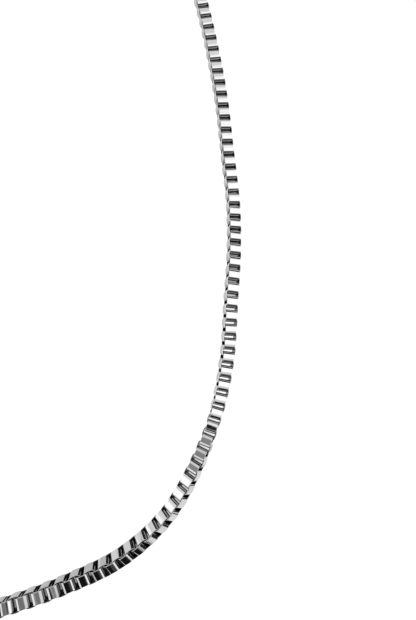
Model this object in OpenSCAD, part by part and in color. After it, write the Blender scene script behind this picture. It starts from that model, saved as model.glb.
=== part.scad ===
// Box chain necklace, closed and worn round a neck.
// Every link is a flat strip bent into a rounded square, and each link is turned a quarter turn from the next.
// The origin is where the clasp rests against the nape. +Z is up, the front of the neck faces -Y.

/* [Chain] */
// Width of the square chain across two opposite faces
chain_w = 3; // [2.8:0.1:3.2]
// Thickness of the strip that a link is bent from
strip_t = 0.24; // [0.2:0.02:0.26]
// Length of one link along the chain
link_len = 2.7; // [2.6:0.02:2.8]
// Outer radius of a link's four corners
link_corner = 0.9; // [0.7:0.05:0.95]
// Free gap between two hooked links when the chain is drawn straight
hook_play = 0.7; // [0.66:0.01:0.76]
// Free gap on each side of a strip inside the next link
side_play = 0.24; // [0.22:0.01:0.28]

/* [Loop] */
// Separate links on each side of the front centre link
front_half = 120; // [60:1:120]
// Hooked links next to the clasp on each side
end_links = 2; // [1:1:2]
// Distance between the sections of the plain stretch behind the neck
section_step = 5; // [4:0.5:8]

/* [Clasp] */
// Diameter of the clasp's round body
clasp_d = 4; // [4:0.1:5]
// Length of the clasp's round body
clasp_len = 8.4; // [6:0.2:14]
// Radius on the clasp body's end edges
clasp_round = 0.6; // [0.3:0.1:1]
// Diameter of the pin that passes through an end link
pin_d = 0.8; // [0.6:0.1:0.8]
// Thickness of each of the two cheeks that hold a pin
cheek_t = 0.5; // [0.4:0.05:0.6]

/* [Hidden] */
$fn = 48;

strip_w = chain_w - 2 * strip_t - 2 * side_play;
pitch = link_len - 2 * strip_t - hook_play;
// Gap between an end link and the clasp's body, and between a plain tube and the link next to it
end_gap = 0.22;
// Gap between a pin and the end bar of the link that it holds, with room for the link's slant
pin_play = 0.2;
pin_x = clasp_len / 2 + end_gap + strip_t + pin_play + pin_d / 2;
cheek_play = 0.35;
cheek_gap = strip_w + 2 * cheek_play;
cheek_r = clasp_len / 2 + pitch - pin_x;

// Half of the loop, from the front centre to the nape, mirrored for the other side.
// Columns: x, y, z, then the compass turn from the front and the rise of the chain's outer face, in degrees.
route = [
    [0, -117.5, -147.5, 0, 32],
    [12, -117, -147.5, 0, 32],
    [24, -116, -146.3, -2, 32],
    [35.5, -115, -143.8, -1, 22],
    [46.5, -113.5, -140.2, 11, 1],
    [56, -111, -133.5, 30, -9],
    [63, -107, -124.5, 51, -11],
    [68, -102.5, -114.5, 77, -16],
    [71, -98, -104, 89, -11],
    [72.5, -93.5, -93, 91, -8],
    [74.2, -87.5, -82.5, 91, -8],
    [75, -81.5, -72.5, 92, -2],
    [74.5, -76, -61.5, 93, 2],
    [74, -70.5, -50.5, 92, 3],
    [73, -64.5, -40, 92, 6],
    [71.5, -58.5, -29.5, 91, 9],
    [69.5, -52, -19.5, 96, 8],
    [66.5, -44, -11, 108, 9],
    [61, -34.5, -4.5, 121, 9],
    [53, -24.5, -0.5, 134, 8],
    [42.5, -15, 1, 146, 7],
    [29.5, -7, 1, 158, 5],
    [15, -1, 0.5, 169, 2],
    [0, 2, 0, 180, 0],
];
last = len(route) - 1;
steps = 20;
// Half of the chord that gives the chain's direction at a point
reach = 0.6;

// Row of the route, mirrored past the front centre and past the nape
function row(i) =
    i < 0 ? [-route[-i].x, route[-i].y, route[-i].z, -route[-i][3], route[-i][4]]
    : i > last ? let (r = route[2 * last - i]) [-r.x, r.y, r.z, 360 - r[3], r[4]]
    : route[i];

// Smooth curve through b and c, with a and d as their outer neighbours
function blend(a, b, c, d, u) =
    b + 0.5 * u * (c - a + u * (2 * a - 5 * b + 4 * c - d + u * (3 * (b - c) + d - a)));

curve = [
    for (i = [0:last - 1], j = [0:steps - 1]) blend(row(i - 1), row(i), row(i + 1), row(i + 2), j / steps),
    route[last],
];

function place(r) = [r.x, r.y, r.z];

// Length along the chain at each point of the curve
run = [
    for (
        i = 0, s = 0;
        i < len(curve);
        s = s + (i + 1 < len(curve) ? norm(place(curve[i + 1]) - place(curve[i])) : 0), i = i + 1
    ) s
];
half_loop = run[len(run) - 1];
last_link = half_loop - clasp_len / 2 - end_gap - link_len / 2;
columns = [for (c = [0:4]) [for (i = [0:len(curve) - 1]) [run[i], curve[i][c]]]];

function side(s) = s < 0 ? -1 : 1;
function at(c, s) = lookup(abs(s), columns[c]);
function unit(v) = v / norm(v);

// Centre of the chain, its direction and the side that faces away from the neck, s along from the front centre
function centre(s) = [side(s) * at(0, s), at(1, s), at(2, s)];
function along(s) = unit(centre(min(s + reach, half_loop)) - centre(max(s - reach, -half_loop)));
function away(s) =
    let (turn = side(s) * at(3, s), rise = at(4, s))
    [sin(turn) * cos(rise), -cos(turn) * cos(rise), sin(rise)];
function outer(s) = unit(away(s) - (away(s) * along(s)) * along(s));

// Local X runs along the chain, and Y points away from the neck
module on_chain(s) {
    p = centre(s);
    x = along(s);
    y = outer(s);
    z = cross(x, y);
    multmatrix([[x.x, y.x, z.x, p.x], [x.y, y.y, z.y, p.y], [x.z, y.z, z.z, p.z]])
        children();
}

module rounded(length, width, radius) {
    square([length - 2 * radius, width], center = true);
    square([length, width - 2 * radius], center = true);
    for (x = [-1, 1], y = [-1, 1])
        translate([x * (length / 2 - radius), y * (width / 2 - radius)])
            circle(r = radius);
}

// One link, its opening along Z
module link() {
    linear_extrude(height = strip_w, center = true)
        difference() {
            rounded(link_len, chain_w, link_corner);
            rounded(link_len - 2 * strip_t, chain_w - 2 * strip_t, link_corner - strip_t);
        }
}

module chain_front() {
    color("silver")
        for (i = [-front_half:front_half])
            on_chain(i * pitch)
                rotate([i % 2 == 0 ? 0 : 90, 0, 0])
                    link();
}

// Square tube with its corners taken off, standing for the links between a and b
module strand(a, b) {
    flat = chain_w / 2;
    edge = strip_w / 2;
    section = [
        [flat, edge], [edge, flat], [-edge, flat], [-flat, edge],
        [-flat, -edge], [-edge, -flat], [edge, -flat], [flat, -edge],
    ];
    count = len(section);
    parts = ceil((b - a) / section_step);
    points = [
        for (k = [0:parts])
            let (s = a + (b - a) * k / parts, y = outer(s), z = cross(along(s), y))
            for (q = section) centre(s) + q.x * y + q.y * z,
    ];
    skin = [
        for (k = [0:parts - 1], j = [0:count - 1])
            let (p = k * count + j, q = k * count + (j + 1) % count)
            each [[p, p + count, q + count], [p, q + count, q]],
    ];
    start = [for (j = [0:count - 1]) j];
    end = [for (j = [count - 1:-1:0]) parts * count + j];
    polyhedron(points, concat(skin, [start], [end]));
}

module chain_back() {
    from = front_half * pitch + link_len / 2 + end_gap;
    to = last_link - (end_links - 1) * pitch - link_len / 2 - end_gap;
    color("silver") {
        strand(from, to);
        strand(-to, -from);
        for (i = [0:end_links - 1], way = [-1, 1])
            on_chain(way * (last_link - i * pitch))
                rotate([i % 2 == 0 ? 0 : 90, 0, 0])
                    link();
    }
}

// Plain closed clasp, a round body with a forked end each side whose pin holds the chain's last link
module clasp() {
    color("silver")
        translate(place(route[last])) {
            rotate([0, 90, 0])
                rotate_extrude()
                    intersection() {
                        rounded(clasp_d, clasp_len, clasp_round);
                        translate([0, -clasp_len / 2])
                            square([clasp_d / 2, clasp_len]);
                    }
            for (turn = [0, 180])
                rotate([0, turn, 0])
                    fork();
        }
}

module fork() {
    root = clasp_len / 2 - clasp_round;
    for (z = [-1, 1])
        translate([0, 0, z * (cheek_gap / 2 + cheek_t / 2)]) {
            translate([root, -cheek_r, -cheek_t / 2])
                cube([pin_x - root, 2 * cheek_r, cheek_t]);
            translate([pin_x, 0, -cheek_t / 2])
                cylinder(h = cheek_t, r = cheek_r);
        }
    translate([pin_x, 0, -cheek_gap / 2 - cheek_t / 2])
        cylinder(h = cheek_gap + cheek_t, d = pin_d);
}

chain_front();
chain_back();
clasp();
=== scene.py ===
import math

import bpy
import numpy as np
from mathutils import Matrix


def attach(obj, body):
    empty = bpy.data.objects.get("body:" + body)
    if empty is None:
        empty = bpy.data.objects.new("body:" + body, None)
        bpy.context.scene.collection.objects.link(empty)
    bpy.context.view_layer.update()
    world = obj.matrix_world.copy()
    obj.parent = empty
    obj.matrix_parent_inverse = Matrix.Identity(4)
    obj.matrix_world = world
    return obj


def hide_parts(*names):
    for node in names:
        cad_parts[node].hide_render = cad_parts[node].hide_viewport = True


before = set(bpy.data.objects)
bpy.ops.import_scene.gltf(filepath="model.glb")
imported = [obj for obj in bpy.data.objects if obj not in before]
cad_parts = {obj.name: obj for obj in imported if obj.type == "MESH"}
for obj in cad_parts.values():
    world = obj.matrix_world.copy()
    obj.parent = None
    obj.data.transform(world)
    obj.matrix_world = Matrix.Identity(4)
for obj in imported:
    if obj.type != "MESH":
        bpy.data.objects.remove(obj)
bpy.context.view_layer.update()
scene = bpy.context.scene

MM = 0.001

# Half of the loop from the front centre to the nape: x, y and z in metres,
# then the turn and rise of the outer face in degrees
ROUTE = np.array([
    (0, -0.1175, -0.1475, 0, 32),
    (0.012, -0.117, -0.1475, 0, 32),
    (0.024, -0.116, -0.1463, -2, 32),
    (0.0355, -0.115, -0.1438, -1, 22),
    (0.0465, -0.1135, -0.1402, 11, 1),
    (0.056, -0.111, -0.1335, 30, -9),
    (0.063, -0.107, -0.1245, 51, -11),
    (0.068, -0.1025, -0.1145, 77, -16),
    (0.071, -0.098, -0.104, 89, -11),
    (0.0725, -0.0935, -0.093, 91, -8),
    (0.0742, -0.0875, -0.0825, 91, -8),
    (0.075, -0.0815, -0.0725, 92, -2),
    (0.0745, -0.076, -0.0615, 93, 2),
    (0.074, -0.0705, -0.0505, 92, 3),
    (0.073, -0.0645, -0.04, 92, 6),
    (0.0715, -0.0585, -0.0295, 91, 9),
    (0.0695, -0.052, -0.0195, 96, 8),
    (0.0665, -0.044, -0.011, 108, 9),
    (0.061, -0.0345, -0.0045, 121, 9),
    (0.053, -0.0245, -0.0005, 134, 8),
    (0.0425, -0.015, 0.001, 146, 7),
    (0.0295, -0.007, 0.001, 158, 5),
    (0.015, -0.001, 0.0005, 169, 2),
    (0, 0.002, 0, 180, 0),
])
STEPS = 20
LAST_ROW = len(ROUTE) - 1

CHAIN_W = 3.0 * MM
LINK_LEN = 2.7 * MM
LINK_CORNER = 0.9 * MM
STRIP_T = 0.25 * MM
STRIP_W = 2.35 * MM
DOME = 6
EDGE_R = 0.07 * MM
PITCH = 1.52 * MM
FRONT_HALF = 120
CLASP_LEN = 8.4 * MM
CLASP_GAP = 0.22 * MM
# Half of the chord that gives the chain's direction at a point
REACH = 0.6 * MM
# Most that a link is turned about each of its axes, in degrees
LINK_TILT = 0.8
# Steps round a link's corner, over its broad face and round an edge of its strip
LINK_STEPS = (6, 4, 2)
# How dark the painted shade on an end bar gets, from 0 to 1. It starts where the normal's share along the
# link is END_FROM, and is full END_RAMP further.
END_PAINTED_SHADE = 0.4
END_FROM = 0.6
END_RAMP = 0.35
# How far the texture moves along and across the strip from one link to the next
TEXTURE_ALONG = 13.7
TEXTURE_ACROSS = 5.3


def row(i):
    if i < 0:
        r = ROUTE[-i]
        return np.array([-r[0], r[1], r[2], -r[3], r[4]])
    if i > LAST_ROW:
        r = ROUTE[2 * LAST_ROW - i]
        return np.array([-r[0], r[1], r[2], 360 - r[3], r[4]])
    return ROUTE[i]


def blend(a, b, c, d, u):
    return b + 0.5 * u * (c - a + u * (2 * a - 5 * b + 4 * c - d + u * (3 * (b - c) + d - a)))


CURVE = np.array(
    [
        blend(row(i - 1), row(i), row(i + 1), row(i + 2), j / STEPS)
        for i in range(LAST_ROW)
        for j in range(STEPS)
    ]
    + [ROUTE[LAST_ROW]]
)
RUN = np.concatenate([[0], np.cumsum(np.linalg.norm(np.diff(CURVE[:, :3], axis=0), axis=1))])
HALF_LOOP = RUN[-1]
LAST_LINK = HALF_LOOP - CLASP_LEN / 2 - CLASP_GAP - LINK_LEN / 2
BACK_LINKS = 68
BACK_PITCH = (LAST_LINK - FRONT_HALF * PITCH) / BACK_LINKS


def at(column, s):
    return np.interp(abs(s), RUN, CURVE[:, column])


def side(s):
    return -1 if s < 0 else 1


def unit(v):
    return v / np.linalg.norm(v)


def centre(s):
    return np.array([side(s) * at(0, s), at(1, s), at(2, s)])


def along(s):
    return unit(centre(min(s + REACH, HALF_LOOP)) - centre(max(s - REACH, -HALF_LOOP)))


def outer(s):
    turn = math.radians(side(s) * at(3, s))
    rise = math.radians(at(4, s))
    away = np.array([math.sin(turn) * math.cos(rise), -math.cos(turn) * math.cos(rise), math.sin(rise)])
    x = along(s)
    return unit(away - (away @ x) * x)


def link_place(i):
    n = abs(i)
    s = n * PITCH if n <= FRONT_HALF else FRONT_HALF * PITCH + (n - FRONT_HALF) * BACK_PITCH
    return s if i >= 0 else -s


def ring_stations(corner_steps, face_steps):
    """Centreline of the bent strip: x, y, outward normal and length so far.

    The two broad faces are slightly domed.
    """
    corner_x = LINK_LEN / 2 - LINK_CORNER
    crown = corner_x / math.sin(math.radians(DOME)) + LINK_CORNER
    crown_y = CHAIN_W / 2 - crown
    corner_y = crown_y + (crown - LINK_CORNER) * math.cos(math.radians(DOME))
    corner_turns = np.linspace(0, 90 - DOME, corner_steps + 1)
    face_turns = np.linspace(90 - DOME, 90 + DOME, face_steps + 1)[1:-1]
    rows = []
    for flip in (0, 180):
        arcs = (
            (corner_x, corner_y, LINK_CORNER, corner_turns),
            (0, crown_y, crown, face_turns),
            (-corner_x, corner_y, LINK_CORNER, 180 - corner_turns[::-1]),
        )
        for cx, cy, radius, turns in arcs:
            for turn in turns:
                a = math.radians(turn + flip)
                nx, ny = math.cos(a), math.sin(a)
                sign = -1 if flip else 1
                r = radius - STRIP_T / 2
                rows.append((sign * cx + r * nx, sign * cy + r * ny, nx, ny))
    rows = np.array(rows)
    gaps = np.linalg.norm(np.diff(rows[:, :2], axis=0), axis=1)
    return rows, np.concatenate([[0], np.cumsum(gaps)])


def strip_section(edge_steps):
    """Rounded outline of the strip: offset outward, offset across, and the normal in both."""
    points = []
    for ca, ch, start in ((1, 1, 0), (-1, 1, 90), (-1, -1, 180), (1, -1, 270)):
        for k in range(edge_steps + 1):
            a = math.radians(start + 90 * k / edge_steps)
            points.append((
                ca * (STRIP_T / 2 - EDGE_R) + EDGE_R * math.cos(a),
                ch * (STRIP_W / 2 - EDGE_R) + EDGE_R * math.sin(a),
                math.cos(a),
                math.sin(a),
            ))
    return np.array(points)


def link_mesh(corner_steps, face_steps, edge_steps):
    """One link at the origin, its opening along Z: points, normals, quads and texture places."""
    ring, length = ring_stations(corner_steps, face_steps)
    section = strip_section(edge_steps)
    n, m = len(ring), len(section)
    points, normals, places = [], [], []
    for j in range(n):
        x, y, nx, ny = ring[j]
        end_bar = min(1, max(0, (abs(nx) - END_FROM) / END_RAMP))
        for off, across, na, nh in section:
            points.append((x + off * nx, y + off * ny, across))
            normals.append((na * nx, na * ny, nh))
            # Painted shade: full on the strip's inner face, and growing on the end bars as they turn along
            # the link
            painted_shade = 1 if off < -STRIP_T / 2 + EDGE_R else END_PAINTED_SHADE * end_bar
            places.append((length[j] / MM, across / MM, painted_shade))
    quads = []
    for j in range(n):
        for k in range(m):
            a, b = j * m + k, j * m + (k + 1) % m
            c, d = ((j + 1) % n) * m + (k + 1) % m, ((j + 1) % n) * m + k
            quads.append((a, d, c, b))
    return np.array(points), np.array(normals), np.array(quads), np.array(places)


def scatter(i, k):
    """A fixed value from -1 to 1 for link i."""
    v = math.sin(i * 12.9898 + k * 78.233) * 43758.5453
    return 2 * (v - math.floor(v)) - 1


def turned(v, axis, angle):
    c, s = math.cos(angle), math.sin(angle)
    return v * c + np.cross(axis, v) * s + axis * (axis @ v) * (1 - c)


def link_axes(i):
    s = link_place(i)
    x, y = along(s), outer(s)
    z = np.cross(x, y)
    if i % 2:
        y, z = z, -y
    for axis, k in ((x, 1), (y, 2), (z, 3)):
        angle = math.radians(LINK_TILT * scatter(i, k))
        x, y, z = turned(x, axis, angle), turned(y, axis, angle), turned(z, axis, angle)
    return centre(s), x, y, z


def chain_piece(name, numbers):
    """All links with the given numbers as one piece, with texture places and a tone for each link."""
    points, normals, quads, places = link_mesh(*LINK_STEPS)
    all_points, all_normals, all_quads, all_places, tones = [], [], [], [], []
    for count, i in enumerate(numbers):
        p, x, y, z = link_axes(i)
        turn = np.array([x, y, z])
        all_points.append(p + points @ turn)
        all_normals.append(normals @ turn)
        all_quads.append(quads + count * len(points))
        shifted = places.copy()
        shifted[:, 0] += TEXTURE_ALONG * (i % 31)
        shifted[:, 1] += TEXTURE_ACROSS * (i % 47)
        all_places.append(shifted)
        tones.append(np.full(len(points), 0.5 + 0.5 * scatter(i, 4)))
    mesh = bpy.data.meshes.new(name)
    verts = np.vstack(all_points)
    faces = np.vstack(all_quads)
    mesh.from_pydata(verts.tolist(), [], faces.tolist())
    mesh.update()
    mesh.polygons.foreach_set("use_smooth", np.ones(len(mesh.polygons), dtype=bool))
    place = np.vstack(all_places)
    loop_vert = np.zeros(len(mesh.loops), dtype=np.int32)
    mesh.loops.foreach_get("vertex_index", loop_vert)
    uv = mesh.uv_layers.new(name="strip")
    uv.data.foreach_set("uv", place[loop_vert, :2].astype(np.float32).ravel())
    painted_shade = mesh.attributes.new("painted_shade", "FLOAT", "POINT")
    painted_shade.data.foreach_set("value", place[:, 2].astype(np.float32))
    tone = mesh.attributes.new("tone", "FLOAT", "POINT")
    tone.data.foreach_set("value", np.concatenate(tones).astype(np.float32))
    mesh.normals_split_custom_set_from_vertices(np.vstack(all_normals).tolist())
    piece = bpy.data.objects.new(name, mesh)
    scene.collection.objects.link(piece)
    return piece


def node(tree, kind, **values):
    n = tree.nodes.new(kind)
    for key, value in values.items():
        if key in n.inputs:
            n.inputs[key].default_value = value
        else:
            setattr(n, key, value)
    return n


def steel(name, tint, painted_shade_tint):
    """Polished steel with fine drawn lines along the strip and a soft haze, darkened by painted shade on
    the strip's inner face and its end bars.
    """
    mat = bpy.data.materials.new(name)
    mat.use_nodes = True
    tree = mat.node_tree
    link = tree.links.new
    shader = tree.nodes["Principled BSDF"]
    shader.inputs["Metallic"].default_value = 1
    place = node(tree, "ShaderNodeUVMap", uv_map="strip")
    lines_map = node(tree, "ShaderNodeMapping")
    lines_map.inputs["Scale"].default_value = (0.6, 16, 1)
    lines = node(tree, "ShaderNodeTexNoise", Scale=1.0, Detail=3.0, Roughness=0.6)
    link(place.outputs["UV"], lines_map.inputs["Vector"])
    link(lines_map.outputs["Vector"], lines.inputs["Vector"])
    haze = node(tree, "ShaderNodeTexNoise", Scale=2.2, Detail=2.0, Roughness=0.5)
    link(place.outputs["UV"], haze.inputs["Vector"])
    both = node(tree, "ShaderNodeMath", operation="ADD")
    link(lines.outputs["Fac"], both.inputs[0])
    link(haze.outputs["Fac"], both.inputs[1])
    rough = node(tree, "ShaderNodeMapRange")
    rough.inputs["From Min"].default_value = 0.7
    rough.inputs["From Max"].default_value = 1.3
    rough.inputs["To Min"].default_value = 0.04
    rough.inputs["To Max"].default_value = 0.08
    link(both.outputs[0], rough.inputs["Value"])
    link(rough.outputs["Result"], shader.inputs["Roughness"])
    bump = node(tree, "ShaderNodeBump", Strength=0.012, Distance=0.00002)
    link(both.outputs[0], bump.inputs["Height"])
    link(bump.outputs["Normal"], shader.inputs["Normal"])
    painted_shade = node(tree, "ShaderNodeAttribute", attribute_name="painted_shade")
    tone = node(tree, "ShaderNodeAttribute", attribute_name="tone")
    dark = node(tree, "ShaderNodeMix", data_type="RGBA")
    dark_a = [s for s in dark.inputs if s.name == "A" and s.type == "RGBA"][0]
    dark_b = [s for s in dark.inputs if s.name == "B" and s.type == "RGBA"][0]
    dark_a.default_value = (*tint, 1)
    dark_b.default_value = (*painted_shade_tint, 1)
    link(painted_shade.outputs["Fac"], dark.inputs["Factor"])
    shade = node(tree, "ShaderNodeHueSaturation")
    level = node(tree, "ShaderNodeMapRange")
    level.inputs["To Min"].default_value = 0.94
    level.inputs["To Max"].default_value = 1.03
    link(tone.outputs["Fac"], level.inputs["Value"])
    link(level.outputs["Result"], shade.inputs["Value"])
    link([s for s in dark.outputs if s.type == "RGBA"][0], shade.inputs["Color"])
    link(shade.outputs["Color"], shader.inputs["Base Color"])
    return mat


front = chain_piece("links_front", range(-FRONT_HALF, FRONT_HALF + 1))
back_numbers = [k for n in range(FRONT_HALF + 1, FRONT_HALF + BACK_LINKS + 1) for k in (n, -n)]
back = chain_piece("links_back", back_numbers)
# The second tint is the near-black colour of the painted shade on inner faces and end bars
chain_steel = steel("chain_steel", (0.58, 0.58, 0.585), (0.08, 0.08, 0.08))
for piece, old in ((front, "chain_front"), (back, "chain_back")):
    piece.data.materials.append(chain_steel)
    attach(piece, "root")
    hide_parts(old)


def clasp_steel():
    """Steel for the clasp, with fine lines round its body."""
    mat = bpy.data.materials.new("clasp_steel")
    mat.use_nodes = True
    tree = mat.node_tree
    link = tree.links.new
    shader = tree.nodes["Principled BSDF"]
    shader.inputs["Base Color"].default_value = (0.76, 0.76, 0.77, 1)
    shader.inputs["Metallic"].default_value = 1
    place = node(tree, "ShaderNodeTexCoord")
    lines_map = node(tree, "ShaderNodeMapping")
    lines_map.inputs["Scale"].default_value = (9000, 900, 900)
    lines = node(tree, "ShaderNodeTexNoise", Scale=1.0, Detail=3.0)
    rough = node(tree, "ShaderNodeMapRange")
    rough.inputs["To Min"].default_value = 0.1
    rough.inputs["To Max"].default_value = 0.26
    bump = node(tree, "ShaderNodeBump", Strength=0.15, Distance=0.00003)
    link(place.outputs["Object"], lines_map.inputs["Vector"])
    link(lines_map.outputs["Vector"], lines.inputs["Vector"])
    link(lines.outputs["Fac"], rough.inputs["Value"])
    link(rough.outputs["Result"], shader.inputs["Roughness"])
    link(lines.outputs["Fac"], bump.inputs["Height"])
    link(bump.outputs["Normal"], shader.inputs["Normal"])
    return mat


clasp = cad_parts["clasp"]
clasp.data.materials.clear()
clasp.data.materials.append(clasp_steel())

# Pale floor, far below the necklace
FLOOR_HALF = 8.0
FLOOR_Z = -0.6


def pale_floor():
    corners = ((-1, -1), (1, -1), (1, 1), (-1, 1))
    mesh = bpy.data.meshes.new("floor")
    mesh.from_pydata([(x * FLOOR_HALF, y * FLOOR_HALF, FLOOR_Z) for x, y in corners], [], [(0, 1, 2, 3)])
    floor = bpy.data.objects.new("floor", mesh)
    scene.collection.objects.link(floor)
    mat = bpy.data.materials.new("floor_pale")
    mat.use_nodes = True
    shader = mat.node_tree.nodes["Principled BSDF"]
    shader.inputs["Base Color"].default_value = (0.95, 0.95, 0.95, 1)
    shader.inputs["Roughness"].default_value = 0.9
    shader.inputs["Specular IOR Level"].default_value = 0
    mesh.materials.append(mat)
    floor.visible_glossy = False


pale_floor()

# Shades round the necklace that only its metal mirrors, placed to suit the photo.
# Columns: az from -Y towards +X and el upwards, from and to, then the level and the width of the soft edge.
# Angles are in degrees, and a later row lies over the earlier ones.
SHADES = (
    ((-8, 45), (13, 56), 1.9, 3),
    ((-8, 19), (32, 56), 1.4, 5),
    ((18, 38), (50, 63), 1.6, 4),
    ((58, 130), (9, 48), 1.8, 3),
    ((40, 110), (50, 73), 0.02, 6),
    ((-106, -60), (-32, 22), 1.75, 4),
    ((-88, -58), (15, 33), 1.75, 5),
    ((-62, -32), (-18, 6), 1.4, 6),
    ((-62, -42), (-50, -14), 1.2, 16),
    ((-58, -18), (-2, 33), 0.38, 4),
    ((-38, -5), (-3, 8), 0.28, 3),
    ((-60, -14), (33, 62), 1.0, 6),
    ((180, 224), (-40, 38), 0.8, 5),
    ((195, 245), (-90, -34), 0.42, 20),
    ((-27, 27), (-90, -4), 0.01, 4),
    ((-3, 27), (-10, 2), 0.2, 8),
    ((3, 27), (-48, -2), 0.1, 6),
    ((-12, 38), (-90, -50), 0.01, 14),
    ((-18, -9), (8, 26), 0.02, 3),
    ((-62, -24), (-90, -50), 0.02, 6),
    ((30, 125), (-24, 4), 0.03, 4),
    ((30, 95), (-46, -20), 0.03, 4),
    ((24, 57), (-42, 2), 1.4, 4),
    ((138, 182), (-64, -28), 0.7, 8),
    ((149, 178), (-14, 75), 0.01, 4),
    ((138, 180), (52, 75), 0.01, 5),
    ((174, 188), (32, 75), 0.01, 4),
    ((184, 232), (42, 75), 0.02, 4),
    ((48, 345), (75, 92), 0.03, 4),
)
MIDDLE = np.array([0.05, -0.09, -0.07])
SHADE_RADIUS = 2.5
# Level where there is no shade
SHADE_BASE = 1.1
SHADE_ROWS = 120
SHADE_COLUMNS = 240


def shade_at(az, el):
    """Level of the shades in one direction."""
    value = SHADE_BASE
    for (a, b), (low, high), level, edge in SHADES:
        off = abs((az - (a + b) / 2 + 180) % 360 - 180)
        across = min(1, max(0, ((b - a) / 2 - off) / edge + 0.5))
        up = min(1, max(0, (el - low) / edge + 0.5)) * min(1, max(0, (high - el) / edge + 0.5))
        value += (level - value) * across * up
    return value


def shade_ball():
    """A glowing ball round the necklace that only mirrored rays see."""
    points, levels = [], []
    for j in range(SHADE_ROWS + 1):
        el = -90 + 180 * j / SHADE_ROWS
        for i in range(SHADE_COLUMNS):
            az = 360 * i / SHADE_COLUMNS
            a, e = math.radians(az), math.radians(el)
            way = np.array([math.sin(a) * math.cos(e), -math.cos(a) * math.cos(e), math.sin(e)])
            points.append(tuple(MIDDLE + SHADE_RADIUS * way))
            levels.append(shade_at(az, el))
    quads = []
    for j in range(SHADE_ROWS):
        for i in range(SHADE_COLUMNS):
            here = j * SHADE_COLUMNS + i
            beside = j * SHADE_COLUMNS + (i + 1) % SHADE_COLUMNS
            quads.append((here, beside, beside + SHADE_COLUMNS, here + SHADE_COLUMNS))
    mesh = bpy.data.meshes.new("shades")
    mesh.from_pydata(points, [], quads)
    mesh.attributes.new("level", "FLOAT", "POINT").data.foreach_set("value", levels)
    ball = bpy.data.objects.new("shades", mesh)
    scene.collection.objects.link(ball)
    mat = bpy.data.materials.new("shades")
    mat.use_nodes = True
    tree = mat.node_tree
    tree.nodes.clear()
    out = tree.nodes.new("ShaderNodeOutputMaterial")
    light = tree.nodes.new("ShaderNodeEmission")
    level = node(tree, "ShaderNodeAttribute", attribute_name="level")
    tree.links.new(level.outputs["Fac"], light.inputs["Strength"])
    tree.links.new(light.outputs[0], out.inputs[0])
    mesh.materials.append(mat)
    ball.visible_camera = False
    ball.visible_shadow = False
    ball.visible_diffuse = False


shade_ball()

WORLD_LEVEL = 1.12
world = bpy.data.worlds.new("studio")
scene.world = world
world.use_nodes = True
background = world.node_tree.nodes["Background"]
background.inputs["Color"].default_value = (1, 1, 1, 1)
background.inputs["Strength"].default_value = WORLD_LEVEL

scene.view_settings.view_transform = "Standard"
scene.view_settings.look = "None"

CAM_AT = (0.0559, -0.1756, -0.0640)
CAM_TURN = 8
CAM_DOWN = 20
# Focal length as a share of the picture's longer side
CAM_FOCAL = 400 / 620
SENSOR = 36
cam_data = bpy.data.cameras.new("camera")
cam_data.sensor_width = SENSOR
cam_data.lens = SENSOR * CAM_FOCAL
cam_data.clip_start = 0.001
cam_data.clip_end = 50
cam = bpy.data.objects.new("camera", cam_data)
cam.location = CAM_AT
cam.rotation_euler = (math.radians(90 - CAM_DOWN), 0, math.radians(-CAM_TURN))
scene.collection.objects.link(cam)
scene.camera = cam
